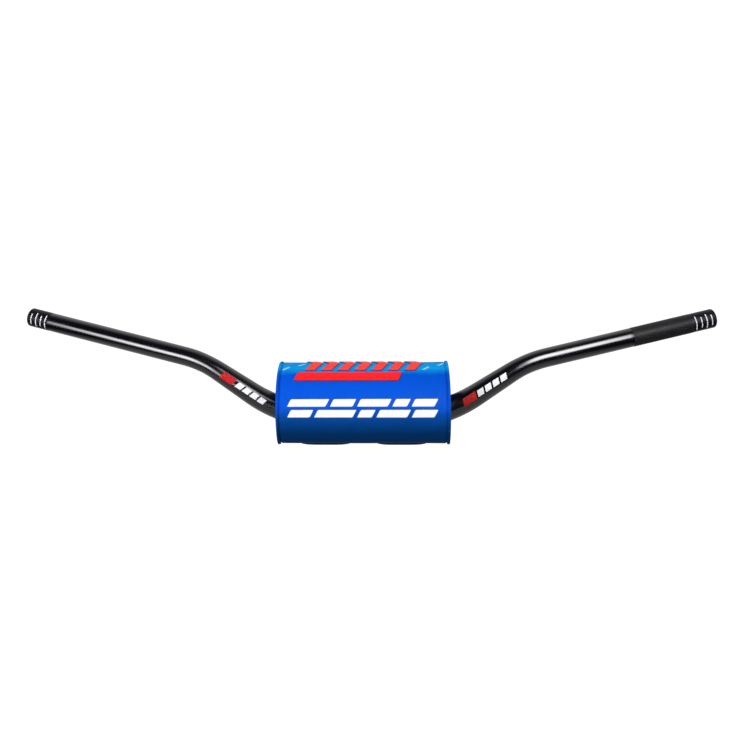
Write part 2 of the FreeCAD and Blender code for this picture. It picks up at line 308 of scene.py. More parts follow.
def along_taper(bar, along, middle, grip):
    """A value that changes steadily along the taper, from the middle's to the grip's."""
    ends = (bar.taper_start, bar.taper_start + bar.taper_length)
    return np.interp(np.abs(along), ends, (middle, grip))


def bar_radius(bar, along):
    """The tube's outside radius, which falls steadily along the taper."""
    return along_taper(bar, along, bar.clamp_radius, bar.grip_radius)


def inner_line(bar, count):
    """Distances from the middle to the taper's end, and the centre line's points at them."""
    along = np.linspace(0.0, bar.taper_start + bar.taper_length, count)
    return along, bar_line(bar, along)[0]


def bar_place(bar, along, round_angle, radius):
    """A point of the tube: the centre line's point + radius (front cos a + upright sin a)."""
    point, _, front, upright = bar_line(bar, along)
    out = front * np.cos(round_angle)[..., None] + upright * np.sin(round_angle)[..., None]
    return point + out * radius[..., None]


def knurl(turns_along, turns_round):
    """The height of a diamond knurl, from 0 in its grooves to 1 at its points.

    Two families of grooves cross at the whole numbers of u + v and u - v. Each rises as a ridge between
    its grooves, 1 - |2 frac - 1|, and the lower of the two ridges is what is left of the metal.
    """
    crossings = (turns_along + turns_round, turns_along - turns_round)
    return np.minimum(*(1 - np.abs(2 * np.mod(crossing, 1.0) - 1) for crossing in crossings))


def pad_middle_arcs(pad):
    """Centres of the crown, flank and corner in Y and Z, with the angle where flank meets corner."""
    crown = np.array([0.0, pad.crown - pad.crown_radius])
    join = pad.crown_angle
    offset = pad.crown_radius - pad.flank_radius
    flank = crown + offset * np.array([-math.sin(join), math.cos(join)])
    corner_z = pad.base + pad.corner_radius
    reach = pad.flank_radius - pad.corner_radius
    corner = np.array([flank[0] - math.sqrt(reach**2 - (corner_z - flank[1]) ** 2), corner_z])
    return crown, flank, corner, math.atan2(flank[0] - corner[0], corner_z - flank[1])


def pad_round_ends(pad):
    """How far round the section the crown, the flank, the corner and half the base end."""
    _, _, corner, meet = pad_middle_arcs(pad)
    crown_end = pad.crown_radius * pad.crown_angle
    flank_end = crown_end + pad.flank_radius * (meet - pad.crown_angle)
    corner_end = flank_end + pad.corner_radius * (math.pi - meet)
    return crown_end, flank_end, corner_end, corner_end - corner[0]


def pad_section(pad, down, lift):
    """Y and Z of the pad's section at distances round it, raised by a lift.

    Crown, flank and corner are arcs, whose angle from up grows by distance / radius, and the base is
    straight. The point is the arc's centre + (radius + lift)(-sin a, cos a). The back mirrors the front.
    """
    crown, flank, corner, meet = pad_middle_arcs(pad)
    crown_end, flank_end, corner_end, _ = pad_round_ends(pad)
    reach = np.abs(down)
    on = [reach <= crown_end, reach <= flank_end, reach <= corner_end]
    turn = np.select(
        on,
        [
            reach / pad.crown_radius,
            pad.crown_angle + (reach - crown_end) / pad.flank_radius,
            meet + (reach - flank_end) / pad.corner_radius,
        ],
        math.pi,
    )
    radius = np.select(on, [pad.crown_radius, pad.flank_radius, pad.corner_radius], pad.corner_radius)
    y = np.select(on, [crown[0], flank[0], corner[0]], corner[0] + reach - corner_end)
    z = np.select(on, [crown[1], flank[1], corner[1]], corner[1])
    y = (y - np.sin(turn) * (radius + lift)) * np.where(down < 0, -1.0, 1.0)
    return y, z + np.cos(turn) * (radius + lift)


def softness(pad, x, down):
    """How far the soft cover stands out from the plain section.

    A bell-shaped valley runs inside each rim. Beside it are puckers, sine waves round the section that
    die away from the rim, and over everything slow ripples, the sum of a few long waves.
    """
    from_end = pad.half_length - np.abs(x)
    valley = np.exp(-(((from_end - pad.rim_width - VALLEY_PLACE) / VALLEY_WIDTH) ** 2))
    rng = np.random.default_rng(11)
    puckers = 0.0
    for wave in PUCKER_WAVES:
        phase = rng.uniform(0, FULL_TURN) + np.sign(x) * PUCKER_PHASE
        puckers = puckers + np.sin(FULL_TURN * down / wave + phase)
    puckers = puckers * np.exp(-np.clip(from_end - pad.rim_width, 0, None) / PUCKER_REACH)
    ripples = 0.0
    for _ in range(RIPPLE_COUNT):
        along, around, phase = rng.uniform(*RIPPLE_RANGES)
        ripples = ripples + np.sin(along * x + around * down * rng.choice((-1, 1)) + phase)
    calm = smooth_step(from_end, 0.0, CALM_REACH)
    return pad.pucker * puckers + pad.ripple / 2 * ripples * calm - pad.groove * valley


def pad_place(pad, x, down, lift, soft=1.0):
    """A point on the pad, or at a height over its cover: the section raised by lift and softness.

    The pad has turned and leaned a little on the tube, which slides each point along X by skew times Y
    and lifts it by tilt times X.
    """
    y, z = pad_section(pad, down, lift + soft * softness(pad, x, down))
    return np.stack([x + pad.shift - pad.skew * y, y, z + pad.rise + pad.tilt * x], -1)


def slit_edges(pad):
    """How far round the section the slit's two edges are, at the back and at the front."""
    half_round = pad_round_ends(pad)[3]
    back = -(half_round - (pad.slit_middle + pad.slit_width / 2))
    front = half_round + (pad.slit_middle - pad.slit_width / 2)
    return back, front


def pad_inside(pad, bar, x, around, fill, hole_radius, inset):
    """A point inside the pad, between the hole for the tube at fill 0 and the cover at fill 1.

    Around runs from the slit's back edge to its front edge. The point is on the ray from the tube's
    centre to the section, a share fill of the way from the hole's edge.
    """
    back, front = slit_edges(pad)
    down = back + (front - back) * around
    y, z = pad_section(pad, down, -inset + softness(pad, x, down))
    line = inner_line(bar, 200)[1]
    centre_y, centre_z = (np.interp(np.abs(x + pad.shift), line[:, 0], line[:, axis]) for axis in (1, 2))
    ray = np.stack([y - centre_y, z + pad.rise + pad.tilt * x - centre_z], -1)
    share = fill + (1 - fill) * hole_radius / np.linalg.norm(ray, axis=-1)
    y = centre_y + ray[..., 0] * share
    z = centre_z + ray[..., 1] * share
    return np.stack([x + pad.shift - pad.skew * y, y, z], -1)


# Points into meshes


def outward(points, faces):
    """The faces turned so that they point outwards: the volume they enclose is then positive."""
    a, b, c, d = (points[faces[:, k]] for k in range(4))
    volume = np.einsum("ij,ij->", a, np.cross(b, c)) + np.einsum("ij,ij->", a, np.cross(c, d))
    return faces if volume > 0 else faces[:, ::-1]


def grid_faces(rows, columns, close_rows, close_columns):
    """The quads between the points of a grid, numbered row by row, joined round where it closes."""
    r = np.arange(rows if close_rows else rows - 1)[:, None]
    c = np.arange(columns if close_columns else columns - 1)[None, :]
    below = (r + 1) % rows
    right = (c + 1) % columns
    corners = [r * columns + c, below * columns + c, below * columns + right, r * columns + right]
    return np.stack(np.broadcast_arrays(*corners), -1).reshape(-1, 4)


def grid(points, flat, close_rows, close_columns, caps=()):
    """A mesh from a grid of points and their flat places, with any quads that cap it."""
    faces = grid_faces(*points.shape[:2], close_rows, close_columns)
    points = points.reshape(-1, 3)
    return points, flat.reshape(-1, 3), outward(points, np.concatenate([faces, *caps]))


def capped_tube(points, flat):
    """A tube from a grid of points, one ring to a row, with each end closed by quads across its ring."""
    rows, columns = points.shape[:2]
    step = np.arange(columns // 2 - 1)
    ring = np.stack([step, step + 1, columns - 2 - step, columns - 1 - step], -1)
    return grid(points, flat, False, True, (ring[:, ::-1], ring + (rows - 1) * columns))


def block(shape, counts):
    """The six sides of a block bent in space.

    shape gives a point for u, v and w from 0 to 1. Each side is a grid of two of the three, where the
    third is 0 or 1, and the sides share the points of their edges.
    """
    sizes = [n + 1 for n in counts]
    number = np.arange(np.prod(sizes)).reshape(sizes)
    sides = []
    for axis in range(3):
        for place_on_axis in (0, -1):
            side = np.take(number, place_on_axis, axis)
            corners = (side[:-1, :-1], side[1:, :-1], side[1:, 1:], side[:-1, 1:])
            quads = np.stack(corners, -1).reshape(-1, 4)
            turned_in = (place_on_axis == 0) != (axis == 1)
            sides.append(quads[:, ::-1] if turned_in else quads)
    used, faces = np.unique(np.concatenate(sides), return_inverse=True)
    faces = faces.reshape(-1, 4)
    u, v, w = (index / n for index, n in zip(np.unravel_index(used, number.shape), counts))
    points, flat = shape(u, v, w)
    return points, flat, outward(points, faces)


def joined(parts):
    """Several meshes as one."""
    points, flats, faces = zip(*parts)
    firsts = np.cumsum([0] + [len(part) for part in points[:-1]])
    faces = [part + first for part, first in zip(faces, firsts)]
    return np.concatenate(points), np.concatenate(flats), np.concatenate(faces)


def new_mesh(name, points, faces, finish):
    """A smooth mesh with one finish, from arrays of points and faces."""
    mesh = bpy.data.meshes.new(name)
    mesh.from_pydata(points.tolist(), [], faces.tolist())
    mesh.shade_smooth()
    mesh.materials.append(finish)
    return mesh


def new_object(name, data):
    """An object that holds a mesh, a light or a camera, in the scene's collection."""
    made = bpy.data.objects.new(name, data)
    bpy.context.collection.objects.link(made)
    return made


def add_piece(name, shape, finish, node=None, sharp=None, bevel=None):
    """A piece from points, flat places and faces, with its finish, which may replace a CAD node.

    The flat place is kept as an attribute, and the finishes draw their grain, wear and dust by it. Edges
    stay sharp above an angle in degrees, or are rounded by a bevel's width and number of segments.
    """
    points, flat, faces = shape
    mesh = new_mesh(name, points, faces, finishes[finish])
    mesh.attributes.new("flat", "FLOAT_VECTOR", "POINT").data.foreach_set("vector", flat.ravel())
    if sharp is not None:
        mesh.set_sharp_from_angle(angle=math.radians(sharp))
    mesh.update()
    piece = new_object(name, mesh)
    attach(piece, "root")
    if node:
        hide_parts(node)
    if bevel:
        add_bevel(piece, *bevel)
    return piece


def add_bevel(piece, width, segments):
    """Rounds a piece's sharp edges."""
    bevel = piece.modifiers.new("rounded_edges", "BEVEL")
    bevel.width = width
    bevel.segments = segments
    bevel.limit_method = "ANGLE"
    bevel.angle_limit = math.radians(35.0)
    bevel.harden_normals = True


# Finishes

BLACK = (0.0, 0.0, 0.0, 1.0)
WHITE = (1.0, 1.0, 1.0, 1.0)

groups = {}
finishes = {}


class Tree:
    """Adds nodes to one material, world or group and joins them."""

    def __init__(self, tree):
        self.nodes = tree.nodes
        self.links = tree.links

    def feed(self, node, inputs):
        """Sets a node's inputs to values, or joins them to sockets."""
        for key, value in inputs.items():
            if isinstance(value, bpy.types.NodeSocket):
                self.links.new(value, node.inputs[key])
            else:
                node.inputs[key].default_value = value

    def add(self, kind, inputs=None, **settings):
        """The outputs of a new node with these inputs and settings."""
        node = self.nodes.new(kind)
        for key, value in settings.items():
            setattr(node, key, value)
        self.feed(node, inputs or {})
        return node.outputs

    def group(self, name, inputs):
        """The outputs of one use of a group with these inputs."""
        return self.add("ShaderNodeGroup", inputs, node_tree=groups[name])

    def math(self, operation, a, b=0.0):
        """The result of a sum on one or two values."""
        return self.add("ShaderNodeMath", {0: a, 1: b}, operation=operation)[0]

    def plus(self, a, b):
        """The sum of two values."""
        return self.math("ADD", a, b)

    def times(self, a, b):
        """The product of two values."""
        return self.math("MULTIPLY", a, b)

    def largest(self, value, *others):
        """The largest of several values."""
        for other in others:
            value = self.math("MAXIMUM", value, other)
        return value

    def ramp(self, value, low, high, start=0.0, end=1.0, kind="LINEAR"):
        """A value carried from the range low to high to the range start to end, and held there."""
        inputs = {"Value": value, "From Min": low, "From Max": high, "To Min": start, "To Max": end}
        return self.add("ShaderNodeMapRange", inputs, clamp=True, interpolation_type=kind)[0]

    def mix(self, share, first, second):
        """A colour between two, by a share."""
        return self.add("ShaderNodeMix", {0: share, 6: first, 7: second}, data_type="RGBA")[2]

    def noise(self, where, scale, detail=2.0, roughness=0.5):
        """A noise value from 0 to 1."""
        inputs = {"Vector": where, "Scale": scale, "Detail": detail, "Roughness": roughness}
        return self.add("ShaderNodeTexNoise", inputs)["Fac"]

    def cells(self, where, scale):
        """The distance from the middle of the nearest of many cells."""
        return self.add("ShaderNodeTexVoronoi", {"Vector": where, "Scale": scale})["Distance"]

    def flat(self):
        """The piece's own flat place."""
        return self.add("ShaderNodeAttribute", attribute_name="flat")["Vector"]

    def object_place(self):
        """A place as the object itself has it."""
        return self.add("ShaderNodeTexCoord")["Object"]

    def stretched(self, where, scale):
        """A place scaled along each of its axes."""
        return self.add("ShaderNodeVectorMath", {0: where, 1: scale}, operation="MULTIPLY")[0]

    def axes(self, where):
        """The X, Y and Z of a place."""
        return self.add("ShaderNodeSeparateXYZ", {0: where})

    def glow(self, strength):
        """White light of a strength."""
        return self.add("ShaderNodeEmission", {"Color": WHITE, "Strength": strength})[0]

    def shade(self, base, roughness, height, strength, depth, specular=0.5, sheen=0.0):
        """Gives the material's shader its colour and gloss, and a bump by a height."""
        bump = {"Height": height, "Strength": strength, "Distance": depth}
        inputs = {
            "Base Color": base,
            "Roughness": roughness,
            "Normal": self.add("ShaderNodeBump", bump)["Normal"],
            "Specular IOR Level": specular,
            "Sheen Weight": sheen,
        }
        self.feed(self.nodes["Principled BSDF"], inputs)


def new_group(name, inputs, outputs):
    """The tree of a new node group, and its inputs: a place, and named numbers or vectors."""
    group = bpy.data.node_groups.new(name, "ShaderNodeTree")
    group.interface.new_socket("Place", in_out="INPUT", socket_type="NodeSocketVector")
    for socket, value in inputs.items():
        kind = "NodeSocketFloat" if isinstance(value, float) else "NodeSocketVector"
        group.interface.new_socket(socket, in_out="INPUT", socket_type=kind).default_value = value
    for socket in outputs:
        group.interface.new_socket(socket, in_out="OUTPUT", socket_type="NodeSocketFloat")
    groups[name] = group
    tree = Tree(group)
    return tree, tree.add("NodeGroupInput")


def grain_group():
    """Pebbled grain of coated fabric: small cells with soft valleys, broken up by noise."""
    tree, source = new_group("coated_grain", {"Cells per metre": 900.0}, ("Height", "Mottle"))
    where = source["Place"]
    pebble = tree.ramp(tree.cells(where, source["Cells per metre"]), 0.1, 0.7, 1.0, 0.0)
    height = tree.plus(tree.times(pebble, 0.7), tree.times(tree.noise(where, 2600.0, 3.0), 0.3))
    tree.add("NodeGroupOutput", {"Height": height, "Mottle": tree.noise(where, 60.0, 4.0, 0.6)})


def dust_group():
    """Fine dust and handling smudges, as a mask that is mostly low."""
    tree, source = new_group("dust_and_smudges", {"Amount": 0.5}, ("Dust", "Smudge"))
    where = source["Place"]
    specks = tree.ramp(tree.noise(where, 1400.0, 2.0, 0.7), 0.62, 0.80)
    clouds = tree.ramp(tree.noise(where, 35.0, 4.0, 0.6), 0.40, 0.75)
    dust = tree.times(tree.times(specks, clouds), source["Amount"])
    tree.add("NodeGroupOutput", {"Dust": dust, "Smudge": tree.times(clouds, source["Amount"])})


def lines_group():
    """Fine lines drawn along a tube, from polishing before it was anodised."""
    tree, source = new_group("drawn_lines", {"Stretch": (30.0, 2200.0, 2200.0)}, ("Height",))
    where = tree.stretched(source["Place"], source["Stretch"])
    tree.add("NodeGroupOutput", {"Height": tree.noise(where, 1.0, 3.0, 0.6)})


def weave_group():
    """Plain weave: the product of two rows of waves, one across the other."""
    tree, source = new_group("woven_threads", {"Threads per metre": 1200.0}, ("Height",))
    turns = tree.times(source["Threads per metre"], math.pi)
    scaled = tree.add("ShaderNodeVectorMath", {0: source["Place"], "Scale": turns}, operation="SCALE")[0]
    axes = tree.axes(scaled)
    waves = tree.times(tree.math("SINE", axes["X"]), tree.math("SINE", axes["Y"]))
    tree.add("NodeGroupOutput", {"Height": tree.plus(tree.times(waves, 0.5), 0.5)})


def new_finish(name, empty=False):
    """A material and its tree. An empty one has no shader or output yet."""
    finish = bpy.data.materials.new(name)
    finish.use_nodes = True
    if empty:
        finish.node_tree.nodes.clear()
    return finish, Tree(finish.node_tree)


def handled(tree, where, base, amount, share, grey, full, rough):
    """A colour under an amount of dust, and a roughness that grows where hands have been.

    The dust covers a share of the colour with its grey. The roughness goes from one value to another as
    the smudges grow to full.
    """
    wear = tree.group("dust_and_smudges", {"Place": where, "Amount": amount})
    dusty = tree.mix(tree.times(wear["Dust"], share), base, (*grey, 1.0))
    return dusty, tree.ramp(wear["Smudge"], 0.0, full, *rough)


def alloy_finish(name, colour, roughness, specular, relief=None):
    """Black anodised alloy: drawn lines and a little dust, and duller where it has been handled.

    A relief is a colour and two radii between which the surface turns to that colour. On the knurl it
    lightens the points, as worn metal and as painted highlight.
    """
    finish, tree = new_finish(name)
    where = tree.flat()
    lines = tree.group("drawn_lines", {"Place": where})
    rough = (roughness, roughness + 0.07)
    base, rough = handled(tree, where, colour, 0.8, share=0.2, grey=(0.35, 0.34, 0.33), full=0.8, rough=rough)
    if relief:
        point, low, high = relief
        across = tree.stretched(where, (0.0, 1.0, 1.0))
        radius = tree.add("ShaderNodeVectorMath", {0: across}, operation="LENGTH")["Value"]
        base = tree.mix(tree.ramp(radius, low, high), base, point)
    tree.shade(base, rough, lines["Height"], strength=0.04, depth=0.00001, specular=specular)
    return finish


def cover_finish(colours, weld):
    """Coated fabric, royal blue at the front, with painted light and shade round the section: a lighter blue
    on the crown stands for the light that falls on top, and deep blue to navy under the front and back is
    painted shade.

    The bands follow the distance round the section, and wander a little. The weld beside each rim, at a
    distance from the middle, is a darker line.
    """
    finish, tree = new_finish("printed_blue_cover")
    where = tree.flat()
    grain = tree.group("coated_grain", {"Place": where, "Cells per metre": 820.0})
    axes = tree.axes(where)
    wander = tree.times(tree.math("SUBTRACT", grain["Mottle"], 0.5), 0.008)
    down = tree.plus(tree.math("ABSOLUTE", axes["Y"]), wander)
    # Painted shade: the front deepens towards the rider's left end, where less light falls.
    along = tree.ramp(axes["X"], 0.030, 0.095, 0.0, 0.20)
    front = tree.mix(along, colours.royal_blue, colours.deep_blue_and_shade)
    # Painted light: the crown turns lighter blue where it faces up.
    base = tree.mix(tree.ramp(down, 0.008, 0.020), colours.lit_crown_blue, front)
    # Painted shade: deep blue below the front print, going darker towards the underside.
    base = tree.mix(tree.ramp(down, 0.060, 0.074), base, colours.deep_blue_and_shade)
    mottled = tree.times(tree.ramp(grain["Mottle"], 0.35, 0.7), 0.10)
    from_weld = tree.math("SUBTRACT", tree.math("ABSOLUTE", axes["X"]), weld)
    weld_line = tree.ramp(tree.math("ABSOLUTE", from_weld), 0.0004, 0.0012, 0.25, 0.0)
    # The first share is painted shade where the cover turns under; the mottle and the weld line are the
    # cover's own darker tone.
    for share in (tree.ramp(down, 0.074, 0.092), mottled, weld_line):
        base = tree.mix(share, base, colours.navy_and_shade)
    grey = (0.6, 0.62, 0.65)
    base, rough = handled(tree, where, base, 0.6, share=0.12, grey=grey, full=0.6, rough=(0.46, 0.58))
    tree.shade(base, rough, grain["Height"], strength=0.35, depth=0.00006, specular=0.02)
    return finish


def print_finish(name, ink, roughness, worn, specular, outline=None):
    """Satin ink or moulded vinyl, with a fine grain and faint dirt in patches.

    An outline is its colour and the distances from the edge where it is full and where it is gone. On the
    badges it is a painted shadow round their raised edges.
    """
    finish, tree = new_finish(name)
    where = tree.flat()
    grain = tree.group("coated_grain", {"Place": where, "Cells per metre": 1500.0})
    mottled = tree.times(tree.ramp(grain["Mottle"], 0.4, 0.75), 0.22)
    base = tree.mix(mottled, ink, tree.mix(0.35, ink, BLACK))
    rough = (roughness, roughness + 0.12)
    base, rough = handled(tree, where, base, worn, share=0.3, grey=(0.5, 0.5, 0.5), full=0.8, rough=rough)
    if outline:
        line, full, gone = outline
        base = tree.mix(tree.ramp(tree.axes(where)["Z"], full, gone, 1.0, 0.0), base, line)
    tree.shade(base, rough, grain["Height"], strength=0.25, depth=0.00004, specular=specular)
    return finish


def foam_finish(colours):
    """Closed-cell foam: cut cells of two sizes, painted darker in their hollows as shade."""
    finish, tree = new_finish("dark_foam")
    where = tree.object_place()
    height = tree.times(tree.plus(tree.cells(where, 900.0), tree.cells(where, 2300.0)), 0.5)
    # Painted shade: darker in the cells' hollows.
    base = tree.mix(tree.ramp(height, 0.1, 0.5), (0.012, 0.012, 0.014, 1.0), colours.foam)
    tree.shade(base, tree.ramp(height, 0.1, 0.5, 0.95, 0.8), height, strength=0.8, depth=0.0004)
    return finish


def tape_finish(colours):
    """Hook and loop tape: a weave under a fuzz of loops, painted darker in its low parts as shade and lighter
    on the raised fuzz as highlight.
    """
    finish, tree = new_finish("hook_and_loop")
    where = tree.flat()
    weave = tree.group("woven_threads", {"Place": where, "Threads per metre": 900.0})
    fuzz = tree.noise(where, 1800.0, 4.0, 0.7)
    height = tree.plus(tree.times(weave["Height"], 0.5), fuzz)
    # Painted shade in the low parts of the weave, and painted highlight on the raised fuzz.
    base = tree.mix(tree.ramp(height, 0.5, 1.2), (0.004, 0.004, 0.004, 1.0), colours.tape)
    base = tree.mix(tree.ramp(fuzz, 0.6, 0.75, 0.0, 0.5), base, (0.06, 0.06, 0.065, 1.0))
    tree.shade(base, tree.ramp(fuzz, 0.3, 0.7, 0.95, 0.75), height, strength=0.7, depth=0.0003, sheen=0.3)
    return finish


def flap_finish(colours):
    """The back of the closure flaps: navy coated fabric with a woven look, painted darker between the threads
    as shade.
    """
    finish, tree = new_finish("navy_flap")
    where = tree.flat()
    weave = tree.group("woven_threads", {"Place": where, "Threads per metre": 1400.0})
    # Painted shade: near black navy in the low parts between the threads.
    shaded_navy = tree.mix(0.8, colours.navy_and_shade, BLACK)
    base = tree.mix(tree.ramp(weave["Height"], 0.2, 0.8, 0.0, 0.25), shaded_navy, colours.navy_and_shade)
    grey = (0.4, 0.42, 0.45)
    base, rough = handled(tree, where, base, 0.7, share=0.15, grey=grey, full=0.6, rough=(0.55, 0.7))
    tree.shade(base, rough, weave["Height"], strength=0.4, depth=0.0001, specular=0.04)
    return finish


# Operators


class HANDLEBAR_OT_finishes(Operator):
    """Make the groups and materials that the pieces use"""

    bl_idname = "handlebar.finishes"
    bl_label = "Finishes"

    def execute(self, context):
        colours = context.scene.handlebar_colours
        bar = context.scene.handlebar_bar
        pad = context.scene.handlebar_pad
        for make_group in (grain_group, dust_group, lines_group, weave_group):
            make_group()
        half = bar.knurl_height / 2
        # The knurl's points turn lighter: worn metal and painted highlight.
        relief = (colours.knurl_point_highlight, bar.grip_radius - 0.4 * half, bar.grip_radius + half)
        weld = pad.half_length - pad.rim_width - 0.0010
        # Painted shadow round the raised badges' edges.
        edge = (colours.red_edge_shade, 0.0004, 0.0007)
        outline = (colours.outline, 0.0006, 0.0009)
        made = {
            "alloy": alloy_finish("gloss_black_anodised", colours.alloy, 0.15, 0.5),
            "dull": alloy_finish("dull_alloy", colours.alloy, 0.40, 0.12),
            "knurled": alloy_finish("knurled_alloy", colours.knurl, 0.38, 0.10, relief),
            "cover": cover_finish(colours, weld),
            "badge": print_finish("moulded_red_badge", colours.badge_red, 0.40, 0.5, 0.2, edge),
            # The chevrons' paler red is painted sheen on their upward faces.
            "chevron": print_finish("moulded_chevron", colours.chevron_red_lit, 0.45, 0.5, 0.15, edge),
            "red": print_finish("red_ink", colours.ink_red, 0.50, 0.7, 0.08),
            "white": print_finish("white_ink", colours.ink_white, 0.50, 0.3, 0.08),
            "outlined": print_finish("outlined_ink", colours.ink_white, 0.45, 0.3, 0.15, outline),
            "pale": print_finish("pale_blue_ink", colours.ink_pale, 0.45, 0.3, 0.15),
            "panel": print_finish("deep_blue_vinyl", colours.deep_blue_and_shade, 0.50, 0.3, 0.04),
            "foam": foam_finish(colours),
            "tape": tape_finish(colours),
            "flap": flap_finish(colours),
        }
        finishes.update(made)
        return {"FINISHED"}


class HANDLEBAR_OT_tube(Operator):
    """Make the tapered tube with its bore, rounded ends and knurled grip"""

    bl_idname = "handlebar.tube"
    bl_label = "Tube"

    diamond_ratio = 1.2
    points_per_diamond = 4
    knurl_fade = 0.0012
    plain_rows = 172
    tip_rows = 8
    rounding_rows = 7
    bore_rows = 110
    dull_overlap = 0.0001

    def execute(self, context):
        bar = context.scene.handlebar_bar
        end = bar_half_length(bar)
        pitch = FULL_TURN * bar.grip_radius / bar.knurl_count * self.diamond_ratio
        along, radius = self.profile(bar, end, pitch)
        columns = bar.knurl_count * self.points_per_diamond
        around = np.arange(columns) * FULL_TURN / columns
        s, a = np.meshgrid(along, around, indexing="ij")
        outside = (radius > bar.grip_radius - bar.end_round)[:, None]
        from_end = end - bar.knurl_start - s
        edge = np.minimum(from_end, bar.knurl_length - from_end)
        shown = smooth_step(edge, 0.0, self.knurl_fade) * outside
        relief = knurl(from_end / pitch, a * bar.knurl_count / FULL_TURN)
        r = radius[:, None] + shown * bar.knurl_height * (relief - 0.5)
        flat = np.stack([s, r * np.cos(a), r * np.sin(a)], -1)
        shape = grid(bar_place(bar, s, a, r), flat, True, True)
        tube = add_piece("bar_tube", shape, "alloy", "handlebar_tube", sharp=50.0)
        for finish in ("knurled", "dull"):
            tube.data.materials.append(finishes[finish])
        faces = shape[2]
        knurled = (shown.ravel()[faces] > 0).any(axis=1)
        dull = (np.abs(s).ravel()[faces] > end - bar.knurl_start - self.dull_overlap).all(axis=1)
        tube.data.polygons.foreach_set("material_index", np.where(dull, 2, knurled).astype(np.int32))
        return {"FINISHED"}

    def profile(self, bar, end, pitch):
        """Distances along the tube and radii, once along the outside and back through the bore.

        Each end is a quarter circle, the flat face, and the chamfer of the mouth.
        """
        shoulder = end - bar.end_round
        mouth = end - bar.mouth_chamfer
        knurl_top = end - bar.knurl_start
        knurl_rows = round(bar.knurl_length / pitch * self.points_per_diamond)
        knurled = np.linspace(knurl_top - bar.knurl_length, knurl_top, knurl_rows + 1)
        plain = np.linspace(-shoulder, knurled[0], self.plain_rows, endpoint=False)
        tip = np.linspace(knurled[-1], shoulder, self.tip_rows)[1:]
        outside = np.concatenate([plain, knurled, tip])
        turn = np.linspace(0, math.pi / 2, self.rounding_rows)[1:]
        round_s = shoulder + bar.end_round * np.sin(turn)
        round_r = bar.grip_radius - bar.end_round + bar.end_round * np.cos(turn)
        bore_end = bar.grip_radius - bar.grip_wall
        end_s = np.concatenate([round_s, [end, mouth]])
        end_r = np.concatenate([round_r, [bore_end + bar.mouth_chamfer, bore_end]])
        inside = np.linspace(mouth, -mouth, self.bore_rows)[1:-1]
        bore = bar_radius(bar, inside) - along_taper(bar, inside, bar.clamp_wall, bar.grip_wall)
        along = np.concatenate([outside, end_s, inside, -end_s[::-1]])
        return along, np.concatenate([bar_radius(bar, outside), end_r, bore, end_r[::-1]])


class HANDLEBAR_OT_trim_marks(Operator):
    """Make the white cutting marks near both ends of the tube"""

    bl_idname = "handlebar.trim_marks"
    bl_label = "Trim marks"

    from_end = {"left": (0.0061, 0.0123, 0.0185, 0.0251), "right": (0.0059, 0.0122, 0.0185, 0.0244)}
    half_angles = (33.5, 46.0, 33.5, 46.0)
    line_width = 0.0011
    ink = 0.00006
    lift = 0.2
    facing = 10.0
    gap = 1.5
    degrees_per_face = 3

    def execute(self, context):
        bar = context.scene.handlebar_bar
        for side, sign in SIDES.items():
            marks = []
            for distance, half_angle in zip(self.from_end[side], self.half_angles):
                for low, high in ((-half_angle, -self.gap), (self.gap, half_angle)):
                    marks.append(self.mark(bar, sign, distance, low, high))
            add_piece("trim_marks_" + side, joined(marks), "white", sharp=30.0)
        return {"FINISHED"}

    def mark(self, bar, sign, distance, low, high):
        """A thin strip of ink: part of a ring round the tube, between two angles."""

        def shape(u, v, w):
            along = bar_half_length(bar) - distance + (u - 0.5) * self.line_width
            turn = np.radians(self.facing + low + (high - low) * v)
            radius = bar.grip_radius + self.ink * (self.lift + w)
            points = bar_place(bar, along, turn, radius) * (sign, 1, 1)
            return points, np.stack([along, turn * bar.grip_radius, radius], -1)

        return block(shape, (1, max(4, round((high - low) / self.degrees_per_face)), 1))


class HANDLEBAR_OT_arm_print(Operator):
    """Make the red and white blocks printed on the rising arms"""

    bl_idname = "handlebar.arm_print"
    bl_label = "Arm print"

    facing = 25.0
    lean = 0.0025
    ink = 0.0002
    gap = 0.00005
    sizes = {"red": (0.017, 0.009), "white": (0.008, 0.007)}
    counts = {"red": 1, "white": 4}
    pitch = 0.0102
    faces = (14, 10, 1)
    starts = {"left": {"red": 0.0275, "white": 0.0465}, "right": {"red": 0.0675, "white": 0.025}}

    def execute(self, context):
        bar = context.scene.handlebar_bar
        bevel = (self.ink * 0.3, 1)
        for side, sign in SIDES.items():
            for ink, size in self.sizes.items():
                starts = [self.starts[side][ink] + number * self.pitch for number in range(self.counts[ink])]
                shape = joined([self.field(bar, sign, start, size) for start in starts])
                node = f"arm_print_{ink}_{side}"
                add_piece(f"arm_{ink}_{side}", shape, ink, node, bevel=bevel)
        return {"FINISHED"}

    def field(self, bar, sign, start, size):
        """A leaning block of ink on the front of an arm.

        A point at a distance along the arm and a height across it is where the line through it, square
        to the facing direction, meets the tube: the angle round is asin(height / radius).
        """
        corner = np.array(bar.inner_corner)
        leg = unit(np.array(bar.outer_corner) - corner)
        facing = math.radians(self.facing)
        outwards = np.array([0.0, -math.cos(facing), math.sin(facing)])
        outwards = unit(outwards - leg * (outwards @ leg))
        across = np.cross(outwards, leg)
        table, line = inner_line(bar, 400)

        def shape(u, v, w):
            height = size[1] * (v - 0.5)
            distance = start + size[0] * u + sign * self.lean * v + self.lean * (sign < 0)
            along = np.interp(distance, (line - corner) @ leg, table)
            point, _, front, upright = bar_line(bar, along)
            radius = bar_radius(bar, along) + self.gap + self.ink * w
            aim = np.arctan2(upright @ outwards, front @ outwards)
            turn = aim + np.arcsin((height - (point - corner) @ across) / radius)
            points = bar_place(bar, along, turn, radius) * (sign, 1, 1)
            return points, np.stack([distance, height, radius], -1)

        return block(shape, self.faces)


